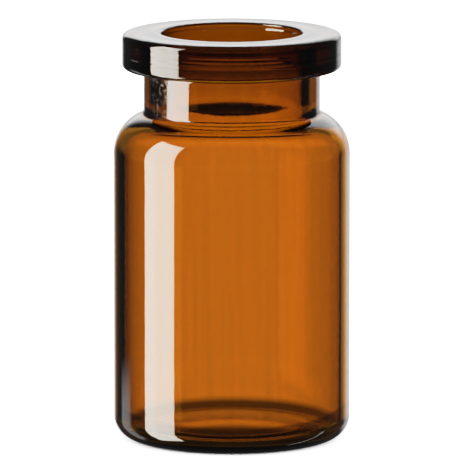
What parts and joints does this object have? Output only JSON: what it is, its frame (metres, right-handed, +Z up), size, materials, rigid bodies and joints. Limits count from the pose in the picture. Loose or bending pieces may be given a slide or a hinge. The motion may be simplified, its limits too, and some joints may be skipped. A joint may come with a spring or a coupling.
{
  "type": "glass sample vial",
  "caption": "Small amber glass vial in one piece: straight round body, short shoulder and neck, and a thick flat crimp lip round an open mouth.",
  "frame": {"origin": "centre of the ring that the base stands on, on the standing surface", "axes": "+Z up the vial's axis, out of the mouth; the vial is round, so X and Y are free, and -Y faces the camera of the picture"},
  "size_m": [0.022, 0.022, 0.038],
  "materials": {
    "amber_glass": "clear amber glass, fire-polished, glossy"
  },
  "bodies": {
    "root": {"vial": "amber_glass"}
  },
  "joints": []
}
